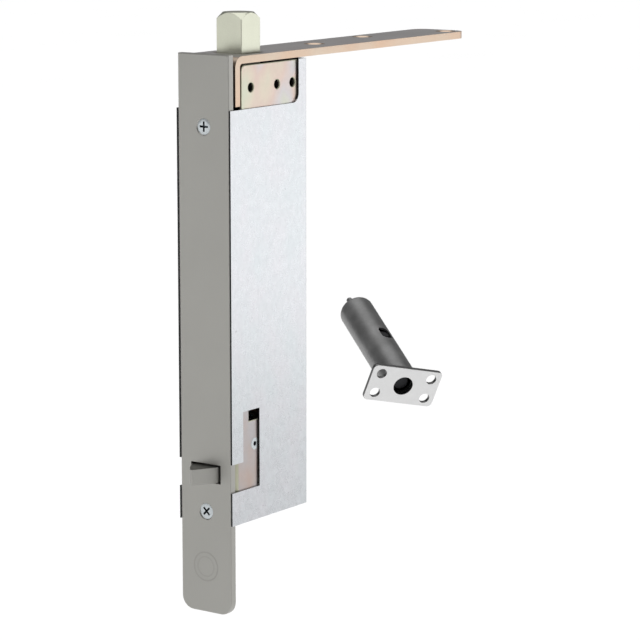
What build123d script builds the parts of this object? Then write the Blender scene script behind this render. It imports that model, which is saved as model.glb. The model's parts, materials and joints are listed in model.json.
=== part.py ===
"""Constant-latching flush bolt for a door edge, with its separate auxiliary fire bolt.

Millimetres.  X runs into the door from the front of the face plate, Y along the door's
thickness, Z up.  The origin is on the front of the face plate, at the middle of its width,
level with the top of the door (the underside of the strap that is screwed to the door's top).
"""
import math
import os

from build123d import *
from build123d.topology import SkipClean

os.makedirs("parts", exist_ok=True)

# ---------------------------------------------------------------- driving sizes
# face plate
FACE_W = 25.4
FACE_H = 228.6
FACE_T = 3.0
FACE_TOP = 3.9
FACE_CORNER_R = 5.5
FACE_EDGE = 0.3
WINDOW_W = 15.0
WINDOW_H = 7.7
TRIGGER_DROP = 170.1          # trigger centre line below the top of the face plate
SCREW_DROPS = {"upper": 28.9, "lower": 186.2}

# face screws
SCREW_D = 4.1
SCREW_HEAD_D = 6.5
SCREW_SINK_D = 7.1
SCREW_LEN = 12.0
SCREW_CONE_DEG = 82.0
TAB_UP = 3.0
TAB_DOWN = 4.2
TAB_T = 2.2
TAB_EAR = 9.0
CROSS_TURN = {"upper": 0.0, "lower": 45.0}

# case
WALL_T = 0.75
CASE_FIT = 0.05
CASE_D = 52.0
CASE_TOP_DROP = 4.4
CASE_BOTTOM_DROP = 190.8
NOTCH_X = 46.1
NOTCH_DROP = 22.0
NOTCH_R = 3.8
SIDE_CUT_TOP = 144.5
SIDE_CUT_STEP = 165.3
SIDE_CUT_BOTTOM = 177.1
SIDE_CUT_X0 = 7.5
SIDE_CUT_X1 = 18.5

# strap (top bracket)
STRAP_W = 25.4
STRAP_T = 3.1
STRAP_END = 174.5
STRAP_END_R = 6.0
STRAP_LEG_X = 4.5
STRAP_LEG_DROP = 20.8
STRAP_BEND_R = 4.6
STRAP_HOLES = ((76.0, 0.0), (120.0, 6.0), (167.5, -6.0))
STRAP_HOLE_D = 5.2
STRAP_SINK_D = 9.0
STRAP_SLOT_Y = 16.8
LEG_SCREW_Y = 7.5
LEG_SCREW_DROP = 13.7
LEG_SCREW_D = 3.0
LEG_SCREW_HEAD_D = 5.4
LEG_SCREW_HEAD_T = 1.2
LEG_SCREW_CLEAR = 0.85        # from the screw's end to the bolt

# bolt and rod
BOLT_W = 12.7
BOLT_X = 23.4
BOLT_TOP = FACE_TOP + 15.4
BOLT_LEN = 60.4
BOLT_TOP_R = 6.25
BOLT_THROW = 16.5
ROD_D = 7.9
ROD_TOP_DROP = 33.0
PIN_D = 3.0
CROSS_PIN_DROP = 39.0
COLLAR_DROP = 70.5
COLLAR_T = 1.6
COLLAR_D = 17.0
CLIP_T = 0.9
SEAT_DROP = 122.5
SEAT_T = 1.5
SPRING_WIRE = 1.5
SPRING_MEAN_R = 6.6
SPRING_TURNS = 11
SPRING_END_GAP = 0.1
NUT_AF = 12.7
NUT_T = 4.4

# guide at the top
SHEET_T = 1.0
GUIDE_X0 = 8.45
GUIDE_X1 = 46.8
GUIDE_TOP_DROP = 4.6
GUIDE_FLOOR_DROP = 25.6
GUIDE_HOLES_X = (14.8, 32.4, 42.9)
GUIDE_HOLE_D = 3.7
GUIDE_CORNER_R = 2.4
BLOCK_X0 = 11.2
BLOCK_X1 = 36.4
BLOCK_TOP_DROP = 6.5

# crank
THROW_HALF_DEG = 26.0
TRIGGER_TRAVEL = 9.5
PIVOT_DROP = 159.6
CRANK_T = 2.0
CRANK_Y = 2.6
CRANK_PIN_D = 4.0
CRANK_END_R = 3.6
CRANK_HUB_R = 5.2
YOKE_T = 4.4
YOKE_X0 = 18.9
YOKE_X1 = 28.4
YOKE_BOTTOM_DROP = 156.2
YOKE_SHOULDER_DROP = 143.0
YOKE_TOP_DROP = 131.2
YOKE_SOCKET_WALL = 1.15
ROD_BOTTOM_DROP = 141.0

# trigger
TRIGGER_H = 6.6
TRIGGER_OUTLINE = ((0.0, -6.2), (-9.9, -0.5), (-9.5, 0.8), (-7.1, 2.8), (0.0, 7.2))
RAIL_Y0 = 5.4
RAIL_Y1 = 7.2
RAIL_PAD = 8.2
TRIGGER_BAR_X = 4.35
TRIGGER_BAR_T = 2.0
TRIGGER_BAR_H = 9.6

# trigger frame
FRAME_X1 = 18.9
FRAME_EAR_X = 12.4
FRAME_TOP_DROP = 149.2
FRAME_EAR_DROP = 140.0
FRAME_BOTTOM_DROP = 179.6
FRAME_BEND_R = 3.0
SPACER_X = 16.3
SPACER_DROP = 159.2
SPACER_D = 3.6
SPACER_FLANGE_D = 4.9
SPACER_BORE = 1.9

# rivets
RIVET_D = 3.2
RIVET_HEAD_D = 6.0
RIVET_HEAD_T = 1.2

# clearances
RUN = 0.05                    # running fit, radial
SLIP = 0.02                   # pieces of one body that touch
GAP = 0.3                     # moving pieces that must not touch
LINK_SLACK = 0.2              # pin in a slot that turns an arc into a line

# auxiliary fire bolt, in its own frame: +Z out of its plate
FIRE_AT = (135.9, -5.5, -156.0 + FACE_TOP)
FIRE_X_DIR = (0.8398, -0.5088, -0.1893)
FIRE_Z_DIR = (-0.5415, -0.7605, -0.3583)
FIRE_PLATE_X = 34.0
FIRE_PLATE_Y = 18.0
FIRE_PLATE_T = 1.8
FIRE_PLATE_R = 2.2
FIRE_HOLE_X = 24.6
FIRE_HOLE_Y = 9.8
FIRE_HOLE_D = 4.7
FIRE_MOUTH_D = 9.0
FIRE_TUBE_D = 15.875
FIRE_TUBE_WALL = 1.3
FIRE_LEN = 66.5
FIRE_CAP_T = 3.2
FIRE_CAP_R = 2.0
FIRE_SLOT_L = 9.2
FIRE_SLOT_W = 5.0
FIRE_SLOT_AT = 33.5
FIRE_SLOT_DEG = 86.0
FIRE_PIN_D = 8.8
FIRE_PIN_LEN = 40.0
FIRE_PIN_RECESS = 3.2
FIRE_TAIL_D = 2.8
FIRE_TAIL_OUT = 10.0
FIRE_SPRING_R = 4.4
FIRE_SPRING_WIRE = 1.1
FIRE_SPRING_TURNS = 9

# ---------------------------------------------------------------- sizes that follow
HALF_IN = FACE_W / 2 + CASE_FIT
HALF_OUT = HALF_IN + WALL_T
BACK_IN = CASE_D - WALL_T
STRAP_REST_X = CASE_D + 1.0     # the strap lies on the door from here
LEG_SCREW_X1 = BOLT_X - BOLT_W / 2 - LEG_SCREW_CLEAR
SIN_HALF = math.sin(math.radians(THROW_HALF_DEG))
COS_HALF = math.cos(math.radians(THROW_HALF_DEG))
ROD_ARM = BOLT_THROW / 2 / SIN_HALF
TRIGGER_ARM = TRIGGER_TRAVEL / 2 / SIN_HALF
PIVOT_X = BOLT_X + ROD_ARM * (1 + COS_HALF) / 2
PIVOT_Z = FACE_TOP - PIVOT_DROP
ROD_PIN = (PIVOT_X - ROD_ARM * COS_HALF, PIVOT_Z + ROD_ARM * SIN_HALF)
TRIGGER_PIN = (PIVOT_X - TRIGGER_ARM * SIN_HALF, PIVOT_Z - TRIGGER_ARM * COS_HALF)
SHEET_Y1 = HALF_IN - 0.1
SHEET_Y0 = SHEET_Y1 - SHEET_T


# ---------------------------------------------------------------- helpers
def drop(distance):
    """Height of a point that lies this far below the top of the face plate."""
    return FACE_TOP - distance


def block(x0, x1, y0, y1, z0, z1):
    """A box between two corners."""
    size = (abs(x1 - x0), abs(y1 - y0), abs(z1 - z0))
    middle = ((x0 + x1) / 2, (y0 + y1) / 2, (z0 + z1) / 2)
    return Pos(*middle) * Box(*size)


def rod_x(radius, x0, x1, y, z):
    """A cylinder along X."""
    return Pos((x0 + x1) / 2, y, z) * Rot(0, 90, 0) * Cylinder(radius, abs(x1 - x0))


def rod_y(radius, y0, y1, x, z):
    """A cylinder along Y."""
    return Pos(x, (y0 + y1) / 2, z) * Rot(90, 0, 0) * Cylinder(radius, abs(y1 - y0))


def rod_z(radius, z0, z1, x, y):
    """A cylinder along Z."""
    return Pos(x, y, (z0 + z1) / 2) * Cylinder(radius, abs(z1 - z0))


def arm_between(start, end, width, y0, y1):
    """A straight round-ended link from one X, Z point to another."""
    dx = end[0] - start[0]
    dz = end[1] - start[1]
    length = math.hypot(dx, dz)
    turn = -math.degrees(math.atan2(dz, dx))
    place = Pos((start[0] + end[0]) / 2, (y0 + y1) / 2, (start[1] + end[1]) / 2)
    bar = place * Rot(0, turn, 0) * Box(length, abs(y1 - y0), width)
    return bar + rod_y(width / 2, y0, y1, *end)


def coil(radius, wire, turns, z0, z1, x, y):
    """A compression spring that fills the height between two seats."""
    low = z0 + wire / 2
    height = z1 - z0 - wire
    path = Helix(pitch=height / turns, height=height, radius=radius)
    section = Plane(origin=path @ 0, z_dir=path % 0) * Circle(wire / 2)
    return Pos(x, y, low) * sweep(section, path=path, is_frenet=True)


def dome_rivet(x_face, x_in, y, z):
    """A rivet through the back of the case, its domed head outside."""
    shank = rod_x(RIVET_D / 2, x_in, x_face + SLIP, y, z)
    head = rod_x(RIVET_HEAD_D / 2, x_face + SLIP, x_face + SLIP + RIVET_HEAD_T, y, z)
    rim = head.edges().filter_by(GeomType.CIRCLE).sort_by(Axis.X)[-1]
    return shank + fillet(rim, RIVET_HEAD_T * 0.8)


def save(shape, name):
    """Write one piece to its own file."""
    shape.label = name
    export_step(shape, "parts/" + name + ".step")


# ---------------------------------------------------------------- face plate
def sink_cone(top_d, x_top, z, grow=0.0):
    """The cone of a countersunk head that narrows along +X from x_top."""
    depth = (top_d / 2) / math.tan(math.radians(SCREW_CONE_DEG / 2))
    cone = Cone(0.001, top_d / 2 + grow, depth)
    return Pos(x_top + depth / 2, 0, z) * Rot(0, -90, 0) * cone


def face_plate():
    plate = block(0, FACE_T, -FACE_W / 2, FACE_W / 2, drop(FACE_H), FACE_TOP)
    corners = plate.edges().filter_by(Axis.X).group_by(Axis.Z)[0]
    plate = fillet(corners, FACE_CORNER_R)
    front = plate.faces().sort_by(Axis.X)[0]
    plate = chamfer(front.outer_wire().edges(), FACE_EDGE)
    mid = drop(TRIGGER_DROP)
    plate -= block(-1, FACE_T + 1, -WINDOW_W / 2, WINDOW_W / 2, mid - WINDOW_H / 2, mid + WINDOW_H / 2)
    for distance in SCREW_DROPS.values():
        z = drop(distance)
        plate -= rod_x(SCREW_D / 2 + 0.3, -1, FACE_T + 1, 0, z)
        plate -= sink_cone(SCREW_SINK_D, 0, z)
    return plate


def head_recess():
    """How far a face screw's head sits below the front of the face plate."""
    slope = math.tan(math.radians(SCREW_CONE_DEG / 2))
    return (SCREW_SINK_D - SCREW_HEAD_D) / 2 / slope - 2 * SLIP


def face_screw(which):
    z = drop(SCREW_DROPS[which])
    top = head_recess()
    screw = sink_cone(SCREW_HEAD_D, top, z) + rod_x(SCREW_D / 2, top + 0.5, top + SCREW_LEN, 0, z)
    for turn in (0, 90):
        slot = Box(1.5, 0.95, 4.0)
        screw -= Pos(top, 0, z) * Rot(CROSS_TURN[which] + turn, 0, 0) * slot
    tip = screw.edges().filter_by(GeomType.CIRCLE).sort_by(Axis.X)[-1]
    return chamfer(tip, 0.6)


def screw_tab(which):
    """The cross tab behind the face plate that a face screw is tapped into."""
    z = drop(SCREW_DROPS[which])
    x0 = FACE_T + SLIP
    low = z - TAB_DOWN
    high = z + TAB_UP
    tab = block(x0, x0 + TAB_T, -HALF_IN + SLIP, HALF_IN - SLIP, low, high)
    for side in (-1, 1):
        y0 = side * (HALF_IN - SLIP)
        tab += block(x0, x0 + TAB_EAR, y0, y0 - side * 1.2, low, high)
    return tab - rod_x(SCREW_D / 2 + SLIP, 0, x0 + TAB_T + 1, 0, z)


# ---------------------------------------------------------------- case
def side_window():
    """The stepped opening in each side of the case, beside the trigger."""
    y = HALF_OUT + 1
    tall = block(SIDE_CUT_X0, SIDE_CUT_X1, -y, y, drop(SIDE_CUT_BOTTOM), drop(SIDE_CUT_TOP))
    low = block(-1, SIDE_CUT_X1, -y, y, drop(SIDE_CUT_BOTTOM), drop(SIDE_CUT_STEP))
    return tall + low


def case_shell():
    z0 = drop(CASE_BOTTOM_DROP)
    z1 = drop(CASE_TOP_DROP)
    shell = block(0, CASE_D, -HALF_OUT, HALF_OUT, z0, z1)
    back = shell.edges().filter_by(Axis.Z).group_by(Axis.X)[-1]
    shell = fillet(back, WALL_T + 0.3)
    shell -= block(-1, BACK_IN, -HALF_IN, HALF_IN, z0 - 1, z1 + 1)
    y = HALF_OUT + 1
    notch = block(-1, NOTCH_X, -y, y, drop(NOTCH_DROP), z1 + 1)
    inner_corner = notch.edges().filter_by(Axis.Y).group_by(Axis.Z)[0].sort_by(Axis.X)[-1]
    shell -= fillet(inner_corner, NOTCH_R)
    shell -= side_window()
    for y, z in back_rivet_places():
        shell -= rod_x(RIVET_D / 2 + SLIP, BACK_IN - 1, CASE_D + 1, y, z)
    return shell


def back_rivet_places():
    """Y, Z of every rivet through the back of the case."""
    guide = [(side * 5.0, drop(GUIDE_FLOOR_DROP - 6.5)) for side in (-1, 1)]
    seat = [(side * 6.5, drop(SEAT_DROP + 6.0)) for side in (-1, 1)]
    crank = [(0.0, drop(150.5)), (0.0, drop(161.5))]
    return guide + seat + crank


# ---------------------------------------------------------------- strap
def strap():
    half = STRAP_W / 2
    leg_low = drop(STRAP_LEG_DROP)
    arm = block(STRAP_LEG_X, STRAP_END, -half, half, 0, STRAP_T)
    leg = block(STRAP_LEG_X, STRAP_LEG_X + STRAP_T, -half, half, leg_low, STRAP_T)
    bar = arm + leg
    outer = bar.edges().filter_by(Axis.Y).filter_by(
        lambda e: abs(e.center().X - STRAP_LEG_X) < 0.01 and abs(e.center().Z - STRAP_T) < 0.01)
    bar = fillet(outer, STRAP_BEND_R)
    inner = bar.edges().filter_by(Axis.Y).filter_by(
        lambda e: abs(e.center().X - STRAP_LEG_X - STRAP_T) < 0.01 and abs(e.center().Z) < 0.01)
    bar = fillet(inner, STRAP_BEND_R - STRAP_T)
    end = bar.edges().filter_by(Axis.Z).group_by(Axis.X)[-1]
    bar = fillet(end, STRAP_END_R)
    slot_x = BOLT_W / 2 + 0.5
    bar -= block(BOLT_X - slot_x, BOLT_X + slot_x, -STRAP_SLOT_Y / 2, STRAP_SLOT_Y / 2, -1, STRAP_T + 1)
    for x, y in STRAP_HOLES:
        bar -= rod_z(STRAP_HOLE_D / 2, -1, STRAP_T + 1, x, y)
        sink = (STRAP_SINK_D - STRAP_HOLE_D) / 2
        bar -= Pos(x, y, STRAP_T - sink / 2) * Cone(STRAP_HOLE_D / 2, STRAP_SINK_D / 2, sink)
    for side in (-1, 1):
        bar -= leg_screw_space(side)
    inner = bar & block(0, STRAP_REST_X, -half - 1, half + 1, leg_low - 1, STRAP_T + 1)
    outer = bar & block(STRAP_REST_X, STRAP_END + 1, -half - 1, half + 1, -1, STRAP_T + 1)
    with SkipClean():
        return inner + outer


def leg_screw_space(side):
    y = side * LEG_SCREW_Y
    z = drop(LEG_SCREW_DROP)
    hole = rod_x(LEG_SCREW_D / 2 + SLIP, STRAP_LEG_X - 1, STRAP_LEG_X + STRAP_T + 1, y, z)
    return hole + leg_screw_cone(y, z, SLIP)


def leg_screw_cone(y, z, grow=0.0):
    cone = Cone(LEG_SCREW_D / 2 + grow, LEG_SCREW_HEAD_D / 2 + grow, LEG_SCREW_HEAD_T)
    return Pos(STRAP_LEG_X + LEG_SCREW_HEAD_T / 2, y, z) * Rot(0, -90, 0) * cone


def leg_screw(side):
    """A countersunk screw that holds the strap's leg to the guide block."""
    y = side * LEG_SCREW_Y
    z = drop(LEG_SCREW_DROP)
    screw = rod_x(LEG_SCREW_D / 2, STRAP_LEG_X + LEG_SCREW_HEAD_T, LEG_SCREW_X1, y, z)
    screw += leg_screw_cone(y, z)
    return screw - block(STRAP_LEG_X - 1, STRAP_LEG_X + 0.5, y - 0.35, y + 0.35, z - 3, z + 3)


# ---------------------------------------------------------------- guide
def guide_bracket():
    """A folded sheet: two sides, a floor the bolt goes through, and a tab on the case's back."""
    top = drop(GUIDE_TOP_DROP)
    floor = drop(GUIDE_FLOOR_DROP)
    plate = block(GUIDE_X0, GUIDE_X1, -SHEET_Y1, SHEET_Y1, floor, top)
    corner = plate.edges().filter_by(Axis.Y).group_by(Axis.X)[0].sort_by(Axis.Z)[-1]
    plate = fillet(corner, GUIDE_CORNER_R)
    plate = fillet(plate.edges().filter_by(Axis.X).group_by(Axis.Z)[0], 1.6)
    hollow = block(GUIDE_X0 - 1, GUIDE_X1 + 1, -SHEET_Y0, SHEET_Y0, floor + SHEET_T, top + 1)
    plate -= fillet(hollow.edges().filter_by(Axis.X).group_by(Axis.Z)[0], 0.6)
    tail = BACK_IN - SLIP
    plate += block(GUIDE_X1 - 2, tail, -9.0, 9.0, floor, floor + SHEET_T)
    plate += block(tail - SHEET_T, tail, -9.0, 9.0, floor, floor + 12.0)
    half = BOLT_W / 2 + 0.5
    plate -= block(BOLT_X - half, BOLT_X + half, -half, half, floor - 1, floor + SHEET_T + 1)
    for x in GUIDE_HOLES_X:
        plate -= rod_y(GUIDE_HOLE_D / 2, -20, 20, x, drop(LEG_SCREW_DROP))
    for y, z in back_rivet_places()[:2]:
        plate -= rod_x(RIVET_D / 2 + SLIP, tail - 3, tail + 3, y, z)
    return plate


def guide_block():
    """The block inside the guide bracket that the bolt slides in."""
    low = drop(GUIDE_FLOOR_DROP) + SHEET_T + SLIP
    y = SHEET_Y0 - SLIP
    body = block(BLOCK_X0, BLOCK_X1, -y, y, low, drop(BLOCK_TOP_DROP))
    body = fillet(body.edges().filter_by(Axis.X).group_by(Axis.Z)[0], 0.8)
    half = BOLT_W / 2 + RUN
    body -= block(BOLT_X - half, BOLT_X + half, -half, half, low - 1, 5)
    z = drop(LEG_SCREW_DROP)
    for x in GUIDE_HOLES_X:
        for side in (-1, 1):
            body -= rod_y(GUIDE_HOLE_D / 2, side * 20, side * 7.6, x, z)
    for side in (-1, 1):
        body -= rod_x(LEG_SCREW_D / 2 + SLIP, BLOCK_X0 - 1, LEG_SCREW_X1 + 0.5, side * LEG_SCREW_Y, z)
    return body


# ---------------------------------------------------------------- bolt and rod
def bolt_head():
    low = BOLT_TOP - BOLT_LEN
    half = BOLT_W / 2
    body = block(BOLT_X - half, BOLT_X + half, -half, half, low, BOLT_TOP)
    body = fillet(body.edges().filter_by(Axis.Z), 0.4)
    reach = 4.0
    tip = Cone(BOLT_TOP_R + reach, BOLT_TOP_R, reach)
    tip = Pos(BOLT_X, 0, BOLT_TOP - reach / 2) * tip
    body &= tip + rod_z(BOLT_TOP_R + reach, low - 1, BOLT_TOP - reach, BOLT_X, 0)
    body -= rod_z(ROD_D / 2 + SLIP, low - 1, drop(ROD_TOP_DROP) + SLIP, BOLT_X, 0)
    return body - rod_y(PIN_D / 2 + SLIP, -20, 20, BOLT_X, drop(CROSS_PIN_DROP))


def bolt_rod():
    rod = rod_z(ROD_D / 2, drop(ROD_BOTTOM_DROP), drop(ROD_TOP_DROP), BOLT_X, 0)
    rod = chamfer(rod.edges().filter_by(GeomType.CIRCLE), 0.6)
    rod -= rod_y(PIN_D / 2 + SLIP, -20, 20, BOLT_X, drop(CROSS_PIN_DROP))
    groove = rod_z(ROD_D, drop(COLLAR_DROP), drop(COLLAR_DROP) + CLIP_T + SLIP, BOLT_X, 0)
    groove -= rod_z(ROD_D / 2 - 0.9, drop(COLLAR_DROP) - 1, drop(COLLAR_DROP) + 3, BOLT_X, 0)
    return rod - groove


def cross_pin():
    half = BOLT_W / 2 - 0.2
    pin = rod_y(PIN_D / 2, -half, half, BOLT_X, drop(CROSS_PIN_DROP))
    return chamfer(pin.edges().filter_by(GeomType.CIRCLE), 0.3)


def hex_nut(z0):
    body = extrude(RegularPolygon(NUT_AF / 2, 6, major_radius=False), NUT_T)
    body = Pos(BOLT_X, 0, z0) * body
    crown = NUT_AF / math.sqrt(3)
    bevel = Pos(BOLT_X, 0, z0 + NUT_T / 2 - 2.0) * Cone(crown + 2.8, crown - 0.45, NUT_T + 4)
    body &= bevel
    return body - rod_z(ROD_D / 2 + SLIP, z0 - 1, z0 + NUT_T + 1, BOLT_X, 0)


def spring_collar():
    z1 = drop(COLLAR_DROP) - SLIP
    ring = rod_z(COLLAR_D / 2, z1 - COLLAR_T, z1, BOLT_X, 0)
    ring = chamfer(ring.edges().filter_by(GeomType.CIRCLE), 0.3)
    return ring - rod_z(ROD_D / 2 + SLIP, z1 - 5, z1 + 5, BOLT_X, 0)


def collar_clip():
    z0 = drop(COLLAR_DROP) + SLIP / 2
    ring = rod_z(ROD_D / 2 + 2.2, z0, z0 + CLIP_T - SLIP, BOLT_X, 0)
    ring -= rod_z(ROD_D / 2 - 0.9 + SLIP, z0 - 1, z0 + 3, BOLT_X, 0)
    mouth = ROD_D / 2 - 1.2
    return ring - block(BOLT_X, BOLT_X + 10, -mouth, mouth, z0 - 1, z0 + 3)


def bolt_spring():
    top = drop(COLLAR_DROP) - SLIP - COLLAR_T - SPRING_END_GAP
    low = drop(SEAT_DROP) + SPRING_END_GAP
    return coil(SPRING_MEAN_R, SPRING_WIRE, SPRING_TURNS, low, top, BOLT_X, 0)


def spring_seat():
    """The fixed shelf under the spring, which also guides the rod."""
    top = drop(SEAT_DROP)
    x0 = BOLT_X - 12.0
    tail = BACK_IN - SLIP
    shelf = block(x0, tail, -HALF_IN + SLIP, HALF_IN - SLIP, top - SEAT_T, top)
    for side in (-1, 1):
        y = side * (HALF_IN - SLIP)
        shelf += block(x0, tail - 4, y, y - side * 1.2, top - 9.0, top)
    shelf += block(tail - SEAT_T, tail, -11.0, 11.0, top - 11.0, top)
    shelf -= rod_z(ROD_D / 2 + RUN, top - 5, top + 5, BOLT_X, 0)
    for y, z in back_rivet_places()[2:4]:
        shelf -= rod_x(RIVET_D / 2 + SLIP, tail - 4, tail + 3, y, z)
    return shelf


def rod_yoke():
    """The fork end of the rod, with the level slot that the crank's pin rides in."""
    half = YOKE_T / 2
    flat = block(YOKE_X0, YOKE_X1, -half, half, drop(YOKE_BOTTOM_DROP), drop(YOKE_SHOULDER_DROP))
    flat = fillet(flat.edges().filter_by(Axis.Y).group_by(Axis.Z)[0], 1.5)
    socket = rod_z(ROD_D / 2 + YOKE_SOCKET_WALL, drop(YOKE_SHOULDER_DROP), drop(YOKE_TOP_DROP), BOLT_X, 0)
    body = flat + socket
    slot_half = CRANK_PIN_D / 2 + LINK_SLACK
    far_x = PIVOT_X - ROD_ARM
    z = ROD_PIN[1]
    body -= block(far_x, ROD_PIN[0], -half - 1, half + 1, z - slot_half, z + slot_half)
    for x in (far_x, ROD_PIN[0]):
        body -= rod_y(slot_half, -half - 1, half + 1, x, z)
    return body - rod_z(ROD_D / 2 + SLIP, drop(ROD_BOTTOM_DROP) - SLIP, 0, BOLT_X, 0)


# ---------------------------------------------------------------- crank
def crank_plate(side):
    y0 = side * CRANK_Y
    y1 = side * (CRANK_Y + CRANK_T)
    pivot = (PIVOT_X, PIVOT_Z)
    plate = rod_y(CRANK_HUB_R, y0, y1, *pivot)
    plate += arm_between(pivot, ROD_PIN, CRANK_END_R * 2, y0, y1)
    plate += arm_between(pivot, TRIGGER_PIN, 6.0, y0, y1)
    plate -= rod_y(CRANK_PIN_D / 2 + SLIP, y0 - side, y1 + side, *ROD_PIN)
    plate -= rod_y(PIN_D / 2 + SLIP, y0 - side, y1 + side, *TRIGGER_PIN)
    return plate - rod_y(CRANK_HUB_R - 1.4, y0 - side, y1 + side, *pivot)


def crank_hub():
    """The sleeve the two crank plates are pressed on; it turns on the pivot pin."""
    reach = CRANK_Y + CRANK_T + 1.8
    hub = rod_y(CRANK_HUB_R - 1.4 - SLIP, -reach, reach, PIVOT_X, PIVOT_Z)
    hub += rod_y(CRANK_HUB_R, -CRANK_Y + SLIP, CRANK_Y - SLIP, PIVOT_X, PIVOT_Z)
    return hub - rod_y(CRANK_PIN_D / 2 + RUN, -20, 20, PIVOT_X, PIVOT_Z)


def crank_rod_pin():
    reach = CRANK_Y + CRANK_T
    pin = rod_y(CRANK_PIN_D / 2, -reach, reach, *ROD_PIN)
    return chamfer(pin.edges().filter_by(GeomType.CIRCLE), 0.3)


def crank_trigger_pin():
    reach = RAIL_Y1 + 0.4
    pin = rod_y(PIN_D / 2, -reach, reach, *TRIGGER_PIN)
    return chamfer(pin.edges().filter_by(GeomType.CIRCLE), 0.3)


def crank_bracket():
    """The fixed fork on the back of the case that carries the crank's pivot pin."""
    x1 = BACK_IN - SLIP
    top = drop(147.0)
    low = drop(164.5)
    y0 = 8.3
    y1 = 9.6
    body = block(x1 - 1.4, x1, -y1, y1, low, top)
    for side in (-1, 1):
        cheek = block(PIVOT_X, x1, side * y0, side * y1, low, top)
        cheek += rod_y(4.6, side * y0, side * y1, PIVOT_X, PIVOT_Z)
        body += cheek
    body -= rod_y(CRANK_PIN_D / 2 + SLIP, -20, 20, PIVOT_X, PIVOT_Z)
    for y, z in back_rivet_places()[4:]:
        body -= rod_x(RIVET_D / 2 + SLIP, x1 - 4, x1 + 3, y, z)
    return body


def crank_pivot_pin():
    shank = rod_y(CRANK_PIN_D / 2, -9.6, 10.4, PIVOT_X, PIVOT_Z)
    head = rod_y(3.2, -10.8, -9.6 - SLIP, PIVOT_X, PIVOT_Z)
    return shank + head + rod_y(CRANK_PIN_D / 2, -9.7, -9.6, PIVOT_X, PIVOT_Z)


def pivot_clip():
    ring = rod_y(3.6, 9.6 + SLIP, 10.2, PIVOT_X, PIVOT_Z)
    return ring - rod_y(CRANK_PIN_D / 2 + SLIP, 5, 15, PIVOT_X, PIVOT_Z)


# ---------------------------------------------------------------- trigger
def trigger():
    """The wedge that stands out of the face plate."""
    rear = TRIGGER_BAR_X - SLIP
    outline = list(TRIGGER_OUTLINE) + [(rear, 7.2), (rear, -6.2)]
    low = drop(TRIGGER_DROP) - TRIGGER_H / 2 - 0.2
    face = make_face(Polyline(*[(x, y) for x, y in outline], close=True))
    body = Pos(0, 0, low) * extrude(face, TRIGGER_H)
    nose = body.edges().filter_by(Axis.Z).group_by(Axis.X)[0]
    body = fillet(nose, 0.8)
    return body - rod_x(1.5 + SLIP, -3.5, rear + 1, 0, drop(TRIGGER_DROP))


def trigger_slide():
    """The forked bar behind the wedge, with an upright slot in each rail for the crank's pin."""
    z = drop(TRIGGER_DROP)
    x0 = TRIGGER_BAR_X
    rear = TRIGGER_PIN[0] + 4.2
    bar = block(x0, x0 + TRIGGER_BAR_T, -RAIL_Y1, RAIL_Y1, z - TRIGGER_BAR_H / 2, z + TRIGGER_BAR_H / 2)
    slot_half = PIN_D / 2 + LINK_SLACK
    high = PIVOT_Z - TRIGGER_ARM * COS_HALF
    deep = PIVOT_Z - TRIGGER_ARM
    for side in (-1, 1):
        rail = block(x0, rear, side * RAIL_Y0, side * RAIL_Y1, z - 2.6, z + 2.6)
        pad = block(rear - 8.4, rear, side * RAIL_Y0, side * RAIL_Y1, z - RAIL_PAD / 2, z + RAIL_PAD / 2)
        pad = fillet(pad.edges().filter_by(Axis.Y), 1.2)
        bar += rail + pad
    bar -= block(TRIGGER_PIN[0] - slot_half, TRIGGER_PIN[0] + slot_half, -20, 20, deep, high)
    for level in (deep, high):
        bar -= rod_y(slot_half, -20, 20, TRIGGER_PIN[0], level)
    return bar - rod_x(1.5 + SLIP, x0 - 1, x0 + 4, 0, z)


def trigger_screw():
    """Holds the wedge to the forked bar from behind."""
    z = drop(TRIGGER_DROP)
    rear = TRIGGER_BAR_X + TRIGGER_BAR_T + SLIP
    shank = rod_x(1.5, -2.5, rear, 0, z)
    head = rod_x(2.7, rear, rear + 1.5, 0, z)
    head -= block(rear + 0.8, rear + 3, -0.4, 0.4, z - 4, z + 4)
    return shank + head


def trigger_frame():
    """A folded sheet behind the face plate: a front with the trigger's window and two sides."""
    x0 = FACE_T + SLIP
    low = drop(FRAME_BOTTOM_DROP)
    top = drop(FRAME_EAR_DROP)
    y = SHEET_Y1
    body = block(x0, FRAME_X1, -y, y, low, top)
    body = fillet(body.edges().filter_by(Axis.Z).group_by(Axis.X)[0], FRAME_BEND_R)
    hollow = block(x0 + SHEET_T, FRAME_X1 + 5, -SHEET_Y0, SHEET_Y0, low - 1, top + 1)
    body -= fillet(hollow.edges().filter_by(Axis.Z).group_by(Axis.X)[0], FRAME_BEND_R - SHEET_T)
    body -= block(FRAME_EAR_X, FRAME_X1 + 5, -20, 20, drop(FRAME_TOP_DROP), top + 1)
    z = drop(TRIGGER_DROP)
    body -= block(0, x0 + 1.6, -WINDOW_W / 2 - 0.3, WINDOW_W / 2 + 0.3, z - 4.3, z + 4.3)
    return body - rod_y(SPACER_D / 2 + SLIP, -20, 20, SPACER_X, drop(SPACER_DROP))


def frame_spacer():
    """The hollow rivet that ties the two sides of the trigger frame together."""
    z = drop(SPACER_DROP)
    reach = SHEET_Y1 + SLIP
    tube = rod_y(SPACER_D / 2, -reach, reach, SPACER_X, z)
    for side in (-1, 1):
        tube += rod_y(SPACER_FLANGE_D / 2, side * reach, side * (reach + 0.05), SPACER_X, z)
        tube += rod_y(SPACER_FLANGE_D / 2, side * (SHEET_Y0 - SLIP), side * (SHEET_Y0 - 0.8), SPACER_X, z)
    return tube - rod_y(SPACER_BORE / 2, -20, 20, SPACER_X, z)


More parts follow.
